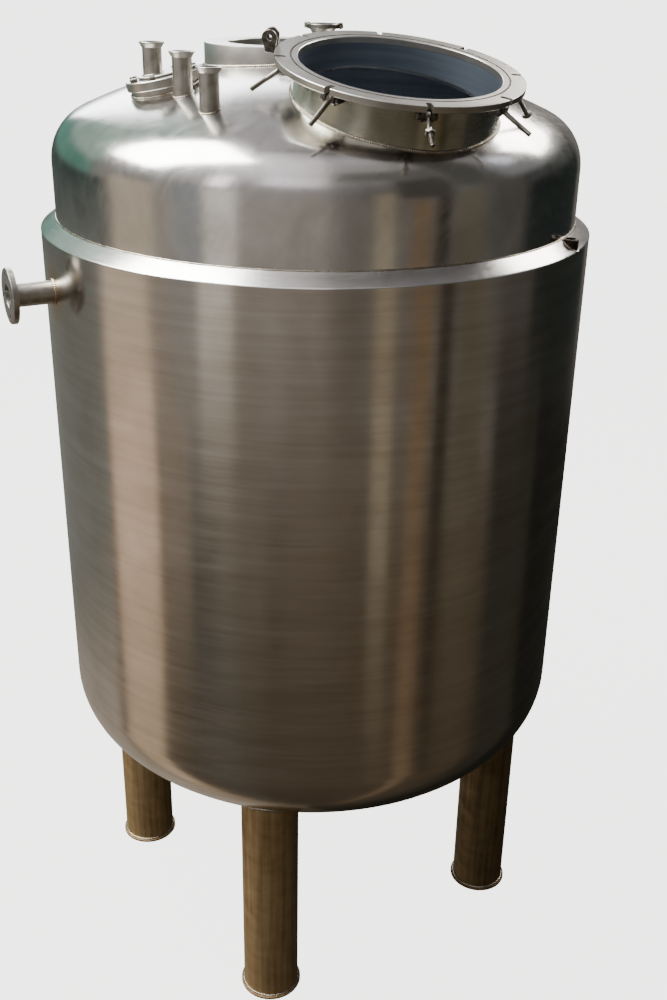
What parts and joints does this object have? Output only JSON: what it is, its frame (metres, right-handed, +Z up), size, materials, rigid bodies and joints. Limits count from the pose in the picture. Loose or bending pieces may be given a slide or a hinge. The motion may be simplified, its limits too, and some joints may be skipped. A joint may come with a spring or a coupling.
{
  "type": "jacketed process tank",
  "caption": "Jacketed stainless steel process tank on pipe legs, with an open manhole and swing bolts, an agitator collar and clamp nozzles on its dished roof.",
  "frame": {"origin": "on the floor under the centre of the outer box; the tank's axis stands 25.6 mm towards +X from it", "axes": "+Z up; the manhole and the front leg face -Y, and the side flange points to -X"},
  "size_m": [1.2512, 1.2, 2.2088],
  "materials": {
    "agitator_collar": "brushed and buffed stainless steel",
    "bottom_outlet": "brushed and buffed stainless steel",
    "cover_gasket": "black rubber",
    "cover_plate": "brushed and buffed stainless steel",
    "cover_seat": "brushed and buffed stainless steel",
    "foot_plate_back": "brushed and buffed stainless steel",
    "foot_plate_front": "brushed and buffed stainless steel",
    "foot_plate_left": "brushed and buffed stainless steel",
    "foot_plate_right": "brushed and buffed stainless steel",
    "jacket_bottom": "brushed and buffed stainless steel",
    "jacket_closure_ring": "brushed and buffed stainless steel",
    "jacket_shell": "brushed and buffed stainless steel",
    "leg_back": "brushed and buffed stainless steel",
    "leg_front": "brushed and buffed stainless steel",
    "leg_left": "brushed and buffed stainless steel",
    "leg_right": "brushed and buffed stainless steel",
    "lid_hinge_eye_back": "brushed and buffed stainless steel",
    "lid_hinge_eye_front": "brushed and buffed stainless steel",
    "lug_back": "brushed and buffed stainless steel",
    "lug_back_left": "brushed and buffed stainless steel",
    "lug_back_right": "brushed and buffed stainless steel",
    "lug_front": "brushed and buffed stainless steel",
    "lug_front_left": "brushed and buffed stainless steel",
    "lug_front_right": "brushed and buffed stainless steel",
    "lug_left": "brushed and buffed stainless steel",
    "lug_right": "brushed and buffed stainless steel",
    "manhole_flange": "brushed and buffed stainless steel",
    "manhole_neck": "brushed and buffed stainless steel",
    "nozzle_back": "brushed and buffed stainless steel",
    "nozzle_back_cap": "brushed and buffed stainless steel",
    "nozzle_back_clamp": "brushed and buffed stainless steel",
    "nozzle_left": "brushed and buffed stainless steel",
    "nozzle_middle": "brushed and buffed stainless steel",
    "nozzle_right": "brushed and buffed stainless steel",
    "ring_socket": "brushed and buffed stainless steel",
    "side_flange": "brushed and buffed stainless steel",
    "side_pipe": "brushed and buffed stainless steel",
    "swing_bolt_back": "brushed and buffed stainless steel",
    "swing_bolt_back_left": "brushed and buffed stainless steel",
    "swing_bolt_back_right": "brushed and buffed stainless steel",
    "swing_bolt_front": "brushed and buffed stainless steel",
    "swing_bolt_front_left": "brushed and buffed stainless steel",
    "swing_bolt_front_right": "brushed and buffed stainless steel",
    "swing_bolt_left": "brushed and buffed stainless steel",
    "swing_bolt_right": "brushed and buffed stainless steel",
    "swing_nut_front": "brushed and buffed stainless steel",
    "swing_nut_right": "brushed and buffed stainless steel",
    "top_head_left": "brushed and buffed stainless steel",
    "top_head_middle": "brushed and buffed stainless steel",
    "top_head_right": "brushed and buffed stainless steel",
    "vessel_bottom": "brushed and buffed stainless steel",
    "vessel_shell": "brushed and buffed stainless steel"
  },
  "bodies": {
    "tank": {"agitator_collar": "agitator_collar", "bottom_outlet": "bottom_outlet", "cover_gasket": "cover_gasket", "cover_plate": "cover_plate", "cover_seat": "cover_seat", "foot_plate_back": "foot_plate_back", "foot_plate_front": "foot_plate_front", "foot_plate_left": "foot_plate_left", "foot_plate_right": "foot_plate_right", "jacket_bottom": "jacket_bottom", "jacket_closure_ring": "jacket_closure_ring", "jacket_shell": "jacket_shell", "leg_back": "leg_back", "leg_front": "leg_front", "leg_left": "leg_left", "leg_right": "leg_right", "lid_hinge_eye_back": "lid_hinge_eye_back", "lid_hinge_eye_front": "lid_hinge_eye_front", "lug_back": "lug_back", "lug_back_left": "lug_back_left", "lug_back_right": "lug_back_right", "lug_front": "lug_front", "lug_front_left": "lug_front_left", "lug_front_right": "lug_front_right", "lug_left": "lug_left", "lug_right": "lug_right", "manhole_flange": "manhole_flange", "manhole_neck": "manhole_neck", "nozzle_back": "nozzle_back", "nozzle_back_cap": "nozzle_back_cap", "nozzle_back_clamp": "nozzle_back_clamp", "nozzle_left": "nozzle_left", "nozzle_middle": "nozzle_middle", "nozzle_right": "nozzle_right", "ring_socket": "ring_socket", "side_flange": "side_flange", "side_pipe": "side_pipe", "top_head_left": "top_head_left", "top_head_middle": "top_head_middle", "top_head_right": "top_head_right", "vessel_bottom": "vessel_bottom", "vessel_shell": "vessel_shell"},
    "swing_bolt_front": {"swing_bolt_front": "swing_bolt_front", "swing_nut_front": "swing_nut_front"},
    "swing_bolt_front_right": {"swing_bolt_front_right": "swing_bolt_front_right"},
    "swing_bolt_right": {"swing_bolt_right": "swing_bolt_right", "swing_nut_right": "swing_nut_right"},
    "swing_bolt_back_right": {"swing_bolt_back_right": "swing_bolt_back_right"},
    "swing_bolt_back": {"swing_bolt_back": "swing_bolt_back"},
    "swing_bolt_back_left": {"swing_bolt_back_left": "swing_bolt_back_left"},
    "swing_bolt_left": {"swing_bolt_left": "swing_bolt_left"},
    "swing_bolt_front_left": {"swing_bolt_front_left": "swing_bolt_front_left"}
  },
  "joints": [
    {"name": "swing_front", "type": "hinge", "parent": "tank", "child": "swing_bolt_front", "pos_m": [0.21503, -0.52636, 2.08241], "axis": [-0.9818, -0.1802, 0.0606], "range_deg": [-62.5, 115.5]},
    {"name": "swing_front_right", "type": "hinge", "parent": "tank", "child": "swing_bolt_front_right", "pos_m": [0.35662, -0.43763, 2.08517], "axis": [-0.5159, -0.85, -0.1065], "range_deg": [-61, 115]},
    {"name": "swing_right", "type": "hinge", "parent": "tank", "child": "swing_bolt_right", "pos_m": [0.39751, -0.28021, 2.1101], "axis": [0.1264, -0.9735, -0.1904], "range_deg": [0, 142]},
    {"name": "swing_back_right", "type": "hinge", "parent": "tank", "child": "swing_bolt_back_right", "pos_m": [0.31299, -0.13626, 2.14454], "axis": [0.7893, -0.5862, -0.1827], "range_deg": [-6, 125]},
    {"name": "swing_back", "type": "hinge", "parent": "tank", "child": "swing_bolt_back", "pos_m": [0.14927, -0.09567, 2.16759], "axis": [0.987, 0.1458, -0.0674], "range_deg": [-2, 120]},
    {"name": "swing_back_left", "type": "hinge", "parent": "tank", "child": "swing_bolt_back_left", "pos_m": [0.00086, -0.18441, 2.16549], "axis": [0.5938, 0.7996, 0.0899], "range_deg": [0, 97]},
    {"name": "swing_left", "type": "hinge", "parent": "tank", "child": "swing_bolt_left", "pos_m": [-0.04138, -0.33975, 2.14106], "axis": [-0.1112, 0.9756, 0.1893], "range_deg": [-7.4, 128.6]},
    {"name": "swing_front_left", "type": "hinge", "parent": "tank", "child": "swing_bolt_front_left", "pos_m": [0.04782, -0.49013, 2.105], "axis": [-0.8607, 0.4798, 0.17], "range_deg": [-38, 117]}
  ]
}
